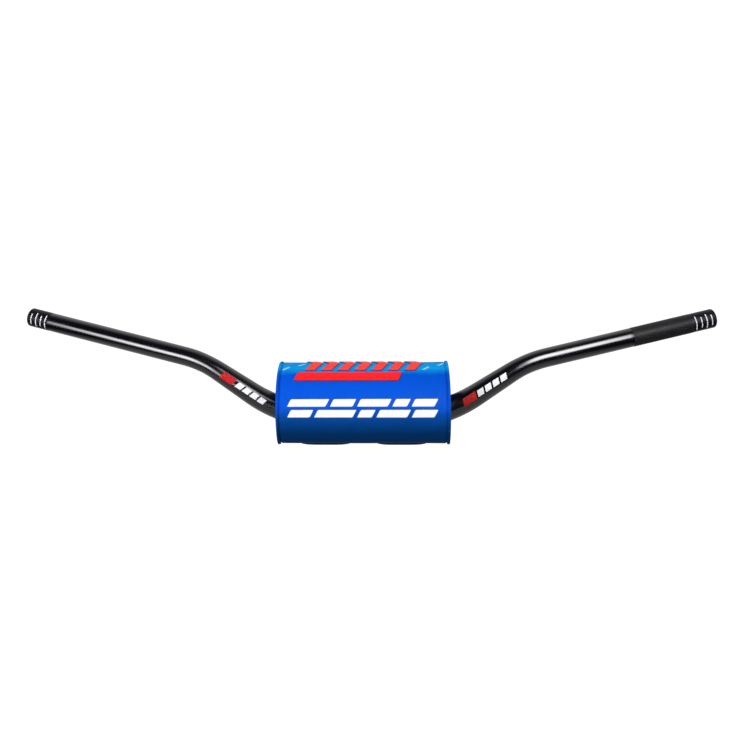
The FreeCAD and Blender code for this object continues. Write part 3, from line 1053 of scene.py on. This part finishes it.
class HANDLEBAR_OT_pad_core(Operator):
    """Make the foam block with its channel and slit, and the panels that close its ends"""

    bl_idname = "handlebar.pad_core"
    bl_label = "Pad core"

    foam_faces = (70, 140, 4)
    foam_end_gap = 0.0025
    foam_hole = 0.0147
    panel_faces = (1, 180, 14)
    panel_edge = (0.0003, 2)
    panel_hole = 0.0158
    panel_recess = 0.001
    panel_thickness = 0.0012
    panel_bulge = 0.0005

    def execute(self, context):
        bar = context.scene.handlebar_bar
        pad = context.scene.handlebar_pad
        inset = pad.cover + pad.layer_gap

        def foam(u, v, w):
            x = (2 * u - 1) * (pad.half_length - self.foam_end_gap)
            points = pad_inside(pad, bar, x, v, w, self.foam_hole, inset)
            return points, points

        def panel(u, v, w):
            bulge = self.panel_bulge * np.sin(math.pi * w) * u
            x = pad.half_length - self.panel_recess - self.panel_thickness * (1 - u) + bulge
            points = pad_inside(pad, bar, sign * x, v, w, self.panel_hole, inset)
            return points, points[..., [1, 2, 0]]

        shape = block(foam, self.foam_faces)
        core = add_piece("foam_block", shape, "foam", "pad_foam_core", sharp=40.0)
        for side, sign in SIDES.items():
            shape = block(panel, self.panel_faces)
            node = "pad_end_panel_" + side
            add_piece("end_panel_" + side, shape, "panel", node, bevel=self.panel_edge)
        return {"FINISHED"}


class HANDLEBAR_OT_pad_cover(Operator):
    """Make the printed cover that wraps the foam, and the welded rim round each end"""

    bl_idname = "handlebar.pad_cover"
    bl_label = "Pad cover"

    rows = 150
    columns = 220
    crowding = 0.97
    under_rim = 0.9
    rim_rows = 260
    rim_columns = 20
    rim_fullness = 0.72

    def execute(self, context):
        pad = context.scene.handlebar_pad
        shape = self.skin(pad)
        cover = add_piece("cover_skin", shape, "cover", "pad_cover")
        wall = cover.modifiers.new("cover_thickness", "SOLIDIFY")
        wall.thickness = pad.cover
        wall.offset = -1.0
        for side, sign in SIDES.items():
            add_piece("rim_bead_" + side, self.rim(pad, sign), "cover", "pad_rim_" + side)
        return {"FINISHED"}

    def skin(self, pad):
        """The cover's outside from rim to rim, with rows that crowd together towards the rims.

        A row's place along the pad is the sine of its share of just under a quarter turn.
        """
        quarter = math.pi / 2 * self.crowding
        end = pad.half_length - pad.rim_width * self.under_rim
        x = end * np.sin(np.linspace(-1, 1, self.rows) * quarter) / math.sin(quarter)
        down = np.linspace(*slit_edges(pad), self.columns)
        x, down = np.meshgrid(x, down, indexing="ij")
        return grid(pad_place(pad, x, down, 0.0), np.stack([x, down, np.zeros_like(x)], -1), False, False)

    def rim(self, pad, sign):
        """The welded rim: a rounded box of a profile carried round the section.

        The profile is (sign(cos) |cos|^k, sign(sin) |sin|^k) times its half width and half height, and k
        below 1 fills its corners.
        """
        down = np.linspace(*slit_edges(pad), self.rim_rows)[:, None]
        turn = (np.arange(self.rim_columns) + 0.5) * FULL_TURN / self.rim_columns
        round_turn = (np.cos(turn), np.sin(turn))
        wide, high = (np.sign(part) * np.abs(part) ** self.rim_fullness for part in round_turn)
        x = pad.half_length - pad.rim_width / 2 * (1 - wide)
        lift = (pad.rim_proud - pad.cover) / 2 + (pad.rim_proud + pad.cover) / 2 * high
        x, lift, down = np.broadcast_arrays(x[None, :], lift[None, :], down)
        points = pad_place(pad, sign * x, down, lift, soft=0.0)
        return capped_tube(points, np.stack([x, down, lift], -1))


class HANDLEBAR_OT_closure(Operator):
    """Make the two flaps under the pad and their hook and loop tapes"""

    bl_idname = "handlebar.closure"
    bl_label = "Closure"

    end_margin = 0.027
    middle_margin = 0.016
    rise = 0.003
    back_margin = 0.012
    flap = 0.0007
    tape = 0.0006
    tape_margin = 0.004
    tape_width = 0.022
    root = 0.005
    root_share = 0.25
    gap = 0.00005
    tape_gap = 0.00004
    tape_fill = 0.98
    side_fade = 0.75
    corner = 0.006
    softness = 0.3
    flap_faces = (40, 60, 1)
    flap_edge = (0.0003, 2)
    tape_faces = (30, 14, 1)
    tape_edge = (0.00015, 1)

    def execute(self, context):
        pad = context.scene.handlebar_pad
        for side, sign in SIDES.items():
            shape = self.flap_shape(pad, sign)
            node = "closure_flap_" + side
            add_piece("flap_" + side, shape, "flap", node, bevel=self.flap_edge)
            for layer, kind in enumerate(("loop_", "hook_")):
                shape = self.tape_shape(pad, sign, layer)
                node = kind + "tape_" + side
                add_piece("tape_" + kind + side, shape, "tape", node, bevel=self.tape_edge)
        return {"FINISHED"}

    def flap_x(self, pad, across):
        """The place along the pad of a share across the flap, from near the middle to near the end."""
        outer = pad.half_length - self.end_margin
        return self.middle_margin + (outer - self.middle_margin) * across

    def fade(self, across):
        """How thick the stack is across the flap: full, and thin near its two sides."""
        return 1 - self.side_fade * np.abs(2 * across - 1) ** 5

    def reaches(self, pad):
        """How far round the section the flap starts, at the front, and ends, under the back."""
        _, _, corner, meet = pad_middle_arcs(pad)
        _, flank_end, corner_end, half_round = pad_round_ends(pad)
        turn = math.pi - math.acos(1 - self.rise / pad.corner_radius)
        start = flank_end + pad.corner_radius * (turn - meet)
        return start, 2 * half_round - corner_end - self.back_margin

    def under(self, pad, sign, x, down, lift):
        """Points under the pad and their flat places."""
        return pad_place(pad, sign * x, down, lift, self.softness), np.stack([x, down, lift], -1)

    def flap_shape(self, pad, sign):
        """The flap: from its weld at the front it rises over the tapes, and its back corners are round."""
        start, end = self.reaches(pad)

        def shape(u, v, w):
            corner = self.corner * np.abs(2 * u - 1) ** 10
            down = start + (end - corner - start) * v
            climb = smooth_step(down - start, 0.0, self.root)
            stack = (2 * self.tape + self.gap) * climb
            thickness = self.flap * (self.root_share + (1 - self.root_share) * climb)
            lift = self.gap + (stack + thickness * w) * self.fade(u)
            return self.under(pad, sign, self.flap_x(pad, u), down, lift)

        return block(shape, self.flap_faces)

    def tape_shape(self, pad, sign, layer):
        """One tape of a flap. Layer 0 is on the cover and layer 1 on the flap."""
        end = self.reaches(pad)[1]
        margin = self.tape_margin / (self.flap_x(pad, 1.0) - self.middle_margin)

        def shape(u, v, w):
            across = margin + (1 - 2 * margin) * u
            down = end - self.tape_width * (1 - v)
            lift = self.tape_gap + self.tape * (layer + w * self.tape_fill) * self.fade(across)
            return self.under(pad, sign, self.flap_x(pad, across), down, lift)

        return block(shape, self.tape_faces)


class HANDLEBAR_OT_pad_print(Operator):
    """Make the raised badges and the print on the pad"""

    bl_idname = "handlebar.pad_print"
    bl_label = "Pad print"

    badge = {"height": 0.001, "segments": 3}
    ink = {"height": 0.0003, "segments": 2}
    rounding = 0.45
    gap = 0.00005
    cell = 0.0016
    stripe = {"margins": (0.019, 0.0565), "down": 0.016, "height": 0.0135, "lean": 0.0045}
    chevrons = {"margins": (0.0305, 0.0295), "down": -0.022, "height": 0.035, "gap": 0.0065, "point": 0.008}
    chevron_count = 7
    blocks = {"margins": (0.012, 0.0178), "down": 0.051, "height": 0.0096, "lean": 0.005, "gap": 0.0036}
    block_row_gap = 0.0022
    block_shares = ((5, 3, 4, 2, 3), (3, 5, 2, 4, 3))
    dashes = {"margins": (0.005, 0.004), "down": 0.0045, "height": 0.0065, "lean": 0.006, "length": 0.0032}
    dash_step = (0.017, -0.010)

    def execute(self, context):
        pad = context.scene.handlebar_pad
        for name, boxes, kind, finish, slot, node in (
            ("stripe_badge", self.stripe_box, self.badge, "badge", "red_badge", "top_badge_stripe"),
            ("chevron_badges", self.chevron_boxes, self.badge, "chevron", "red_badge", "top_badge_chevrons"),
            ("front_blocks", self.block_boxes, self.ink, "outlined", "white_ink", "front_print_blocks"),
            ("crown_dashes", self.dash_boxes, self.ink, "pale", "pale_ink", "top_print_dashes"),
        ):
            shape = joined([self.raised(pad, kind["height"], *box) for box in boxes(pad)])
            bevel = (kind["height"] * self.rounding, kind["segments"])
            add_piece(name, shape, finish, node, bevel=bevel)
        return {"FINISHED"}

    def raised(self, pad, height, start, down, size, lean=0.0, point=0.0):
        """A raised shape on the cover: a box that leans, or is drawn out to a point half way down it.

        The third value of its flat place is the distance from the shape's edge.
        """
        counts = [max(4, 2 * round(side / self.cell / 2)) for side in size]

        def shape(u, v, w):
            tip = point * (1 - np.abs(2 * v - 1))
            x = start + size[0] * u + lean * (1 - v) + tip
            around = down + size[1] * v
            points = pad_place(pad, x, around, self.gap + height * w)
            edge = np.minimum(np.minimum(u, 1 - u) * size[0], np.minimum(v, 1 - v) * size[1])
            return points, np.stack([x, around, edge], -1)

        return block(shape, (*counts, 1))

    def row(self, pad, print_sizes):
        """Where a row of print starts along the pad, and how long it is, from its two margins."""
        first, last = print_sizes["margins"]
        return first - pad.half_length, 2 * pad.half_length - (first + last)

    def stripe_box(self, pad):
        """The long stripe on the front of the crown."""
        stripe = self.stripe
        start, row = self.row(pad, stripe)
        return [(start, stripe["down"], (row, stripe["height"]), stripe["lean"])]

    def chevron_boxes(self, pad):
        """The row of chevrons along the crown, at an even pitch."""
        c = self.chevrons
        start, row = self.row(pad, c)
        pitch = (row - c["point"] + c["gap"]) / self.chevron_count
        size = (pitch - c["gap"], c["height"])
        return [(start + n * pitch, c["down"], size, 0.0, c["point"]) for n in range(self.chevron_count)]

    def block_boxes(self, pad):
        """Two rows of leaning blocks that share the pad's length between them."""
        b = self.blocks
        start, row = self.row(pad, b)
        boxes = []
        for number, shares in enumerate(self.block_shares):
            one_share = (row - b["gap"] * (len(shares) - 1)) / sum(shares)
            down = b["down"] + number * (b["height"] + self.block_row_gap)
            x = start
            for share in shares:
                boxes.append((x, down, (share * one_share, b["height"]), b["lean"]))
                x += share * one_share + b["gap"]
        return boxes

    def dash_boxes(self, pad):
        """Two short leaning dashes near each end of the crown."""
        d = self.dashes
        start, row = self.row(pad, d)
        along, down = self.dash_step
        pair = along + d["length"] + d["lean"]
        boxes = []
        for first in (start, start + row - pair):
            for n in range(2):
                boxes.append((first + n * along, d["down"] + n * down, (d["length"], d["height"]), d["lean"]))
        return boxes


class HANDLEBAR_OT_stage(Operator):
    """Make the floor and backdrop, the lights, the room and the camera"""

    bl_idname = "handlebar.stage"
    bl_label = "Stage"

    bend_start = 2.2
    bend_radius = 0.8
    bend_columns = 17
    wall_height = 2.6
    half_width = 4.0
    rows = 9
    strip_spread = 0.18
    strip_shift = 0.07
    strip_fade = (0.85, 1.15)
    strip_level = 0.72
    back_fade = (0.0, 0.4)
    floor_glow = 1.2
    floor_paint = 0.18
    pale_grey = (0.8, 0.8, 0.8, 1.0)
    bounce_grey = (0.10, 0.10, 0.10, 1.0)
    room_fade = (0.0, 0.7)
    room_back = 1.4
    softbox_size = (0.80, 0.75)
    left_highlight_card = {"towards": (-33.4, 15.9), "distance": 3.0, "half_size": (0.56, 0.62), "softness": 0.65}
    right_highlight_card = {"towards": (30.2, 42.3), "distance": 1.6, "half_size": (0.34, 0.45), "softness": 0.55}

    def execute(self, context):
        stage = context.scene.handlebar_stage
        self.backdrop(stage)
        self.softbox("left_softbox", (-1.13, -1.39, 0.50), stage.left_power)
        self.softbox("right_softbox", (0.76, -1.17, 1.24), stage.right_power)
        # Painted highlights: glowing cards that only gloss sees.
        self.card("left_highlight_card", stage.left_glow, **self.left_highlight_card)
        self.card("right_highlight_card", stage.right_glow, **self.right_highlight_card)
        self.room(context, stage)
        self.camera(context, stage)
        context.scene.view_settings.view_transform = "Standard"
        return {"FINISHED"}

    def away(self, azimuth, elevation, distance):
        """A place at a distance from the origin.

        Azimuth turns from the front to the rider's left, and elevation rises from the level.
        """
        level = math.cos(elevation)
        towards = (level * math.sin(azimuth), -level * math.cos(azimuth), math.sin(elevation))
        return distance * np.array(towards)

    def facing_origin(self, where):
        """The directions right, up and back of something that looks at the origin from a place."""
        back = unit(where)
        right = unit(np.cross((0.0, 0.0, 1.0), back))
        return np.stack([right, np.cross(back, right), back])

    def stand(self, thing, where, directions):
        """Puts a light, card or camera at a place, with its directions right, up and back."""
        matrix = np.eye(4)
        matrix[:3, :3] = directions.T
        matrix[:3, 3] = where
        thing.matrix_world = Matrix(matrix.tolist())

    def backdrop(self, stage):
        """The floor, swept up at the back: a flat run, a quarter circle and a wall, carried along X."""
        radius = self.bend_radius
        turn = np.linspace(0, math.pi / 2, self.bend_columns)
        bend = self.bend_start + radius * np.sin(turn)
        y = np.concatenate([[-stage.floor_front, 0.0], bend, [self.bend_start + radius]])
        z = np.concatenate([[0.0, 0.0], radius * (1 - np.cos(turn)), [self.wall_height]])
        x = np.linspace(-self.half_width, self.half_width, self.rows)
        points = np.stack(np.broadcast_arrays(x[:, None], y[None, :], z[None, :] - stage.floor_depth), -1)
        faces = grid_faces(len(x), len(y), False, False)
        finish = self.backdrop_finish(stage.floor_reach)
        new_object("backdrop", new_mesh("backdrop", points.reshape(-1, 3), faces, finish))

    def backdrop_finish(self, reach):
        """White to the camera and in reflections, with the object's shadow, and a darker bounce.

        In front, gloss sees only a glowing strip of the floor, which widens away from the origin and fades at
        its two sides: a painted reflection, not lamplight.
        """
        finish, tree = new_finish("white_backdrop", empty=True)
        axes = tree.axes(tree.object_place())
        width = tree.plus(tree.times(tree.math("MINIMUM", axes["Y"], 0.0), -self.strip_spread), reach)
        from_middle = tree.math("ABSOLUTE", tree.plus(axes["X"], self.strip_shift))
        strip = tree.ramp(tree.math("DIVIDE", from_middle, width), *self.strip_fade, self.strip_level, 0.0)
        path = tree.add("ShaderNodeLightPath")
        seen = tree.largest(path["Is Camera Ray"], path["Is Glossy Ray"], path["Is Transmission Ray"])
        # Painted reflection: in gloss the floor glows only in the strip; the camera sees it all.
        glow_share = tree.largest(strip, tree.ramp(axes["Y"], *self.back_fade), path["Is Camera Ray"])
        glow = tree.glow(tree.times(glow_share, self.floor_glow))
        pale = tree.mix(glow_share, BLACK, self.pale_grey)
        paint = tree.add("ShaderNodeBsdfDiffuse", {"Color": pale})[0]
        bright = tree.add("ShaderNodeMixShader", {0: self.floor_paint, 1: glow, 2: paint})[0]
        dim = tree.add("ShaderNodeBsdfDiffuse", {"Color": self.bounce_grey})[0]
        both = tree.add("ShaderNodeMixShader", {0: seen, 1: dim, 2: bright})[0]
        tree.add("ShaderNodeOutputMaterial", {"Surface": both})
        return finish

    def softbox(self, name, where, power):
        """A soft rectangular light that faces the origin. Gloss sees the painted highlight cards in its
        place.
        """
        light = bpy.data.lights.new(name, "AREA")
        light.shape = "RECTANGLE"
        light.size, light.size_y = self.softbox_size
        light.energy = power
        lamp = new_object(name, light)
        lamp.visible_glossy = False
        self.stand(lamp, where, self.facing_origin(np.array(where)))

    def card(self, name, glow, towards, distance, half_size, softness):
        """A painted highlight: a card that only gloss sees, which faces the origin, a glow that fades round a
        rounded square and is no lamp.

        It stands towards an azimuth and elevation in degrees.
        """
        corners = np.array([(-1, -1, 0), (1, -1, 0), (1, 1, 0), (-1, 1, 0)]) * (*half_size, 1)
        finish = self.card_finish(name + "_glow", glow, half_size, softness)
        card = new_object(name, new_mesh(name, corners * (1 + softness), np.array([(0, 1, 2, 3)]), finish))
        where = self.away(*(math.radians(turn) for turn in towards), distance)
        self.stand(card, where, self.facing_origin(where))
        card.visible_camera = False
        card.visible_diffuse = False
        card.visible_shadow = False

    def card_finish(self, name, glow, half_size, softness):
        """A glow over a clear sheet.

        With x and y the place over the half sizes, it fades as the fourth root of x^4 + y^4 passes 1.
        """
        finish, tree = new_finish(name, empty=True)
        axes = tree.axes(tree.stretched(tree.object_place(), (1 / half_size[0], 1 / half_size[1], 1.0)))
        fourths = [tree.math("POWER", tree.math("ABSOLUTE", axes[axis]), 4.0) for axis in ("X", "Y")]
        reach = tree.math("POWER", tree.plus(*fourths), 0.25)
        light = tree.glow(tree.ramp(reach, 1 - softness, 1 + softness, glow, 0.0, "SMOOTHSTEP"))
        clear = tree.add("ShaderNodeBsdfTransparent")[0]
        both = tree.add("ShaderNodeAddShader", {0: light, 1: clear})[0]
        tree.add("ShaderNodeOutputMaterial", {"Surface": both})
        return finish

    def room(self, context, stage):
        """The world: white to the camera, and a soft fill that is stronger from above.

        Gloss sees white at the back and a dim room in front.
        """
        world = bpy.data.worlds.new("room")
        world.use_nodes = True
        tree = Tree(world.node_tree)
        path = tree.add("ShaderNodeLightPath")
        axes = tree.axes(tree.add("ShaderNodeTexCoord")["Generated"])
        fill = tree.ramp(axes["Z"], -1.0, 1.0, stage.fill_below, stage.fill_above)
        mirrored = tree.ramp(axes["Y"], *self.room_fade, stage.room_level, self.room_back)
        gloss = tree.largest(path["Is Glossy Ray"], path["Is Transmission Ray"])
        strength = tree.ramp(gloss, 0.0, 1.0, fill, mirrored)
        strength = tree.ramp(path["Is Camera Ray"], 0.0, 1.0, strength, 1.0)
        tree.feed(world.node_tree.nodes["Background"], {"Strength": strength, "Color": WHITE})
        context.scene.world = world

    def camera(self, context, stage):
        """The camera at the photograph's angle.

        It faces the origin from its distance, azimuth and elevation. Then it tilts up about its right,
        pans about its up and rolls about its back.
        """
        lens = bpy.data.cameras.new("camera")
        lens.lens = stage.camera_lens
        lens.sensor_width = 36.0
        lens.clip_start = 0.01
        lens.clip_end = 50.0
        eye = self.away(stage.camera_azimuth, stage.camera_elevation, stage.camera_distance)
        directions = self.facing_origin(eye)
        for number, turn in enumerate((stage.camera_tilt, -stage.camera_pan, stage.camera_roll)):
            directions = turned(directions, directions[number], np.array(turn))
        camera = new_object("camera", lens)
        self.stand(camera, eye, directions)
        context.scene.camera = camera


class HANDLEBAR_PT_panel(Panel):
    """Lists the operators and the main sizes and colours"""

    bl_idname = "HANDLEBAR_PT_panel"
    bl_label = "Handlebar"
    bl_space_type = "VIEW_3D"
    bl_region_type = "UI"
    bl_category = "Handlebar"

    def draw(self, context):
        for maker in makers:
            self.layout.operator(maker.bl_idname)
        for name in settings:
            group = getattr(context.scene, name)
            box = self.layout.box()
            for key in group.bl_rna.properties.keys():
                if key not in ("rna_type", "name"):
                    box.prop(group, key)


settings = {
    "handlebar_bar": BarSizes,
    "handlebar_pad": PadSizes,
    "handlebar_colours": Colours,
    "handlebar_stage": StageSettings,
}
makers = (
    HANDLEBAR_OT_finishes,
    HANDLEBAR_OT_tube,
    HANDLEBAR_OT_trim_marks,
    HANDLEBAR_OT_arm_print,
    HANDLEBAR_OT_pad_core,
    HANDLEBAR_OT_pad_cover,
    HANDLEBAR_OT_closure,
    HANDLEBAR_OT_pad_print,
    HANDLEBAR_OT_stage,
)
classes = (*settings.values(), *makers, HANDLEBAR_PT_panel)


def register():
    for made in classes:
        bpy.utils.register_class(made)
    for name, group in settings.items():
        setattr(bpy.types.Scene, name, PointerProperty(type=group))


def unregister():
    for name in settings:
        delattr(bpy.types.Scene, name)
    for made in reversed(classes):
        bpy.utils.unregister_class(made)


def main():
    """Make every piece in order."""
    register()
    for maker in makers:
        getattr(bpy.ops.handlebar, maker.bl_idname.split(".")[1])()


if __name__ == "__main__":
    main()
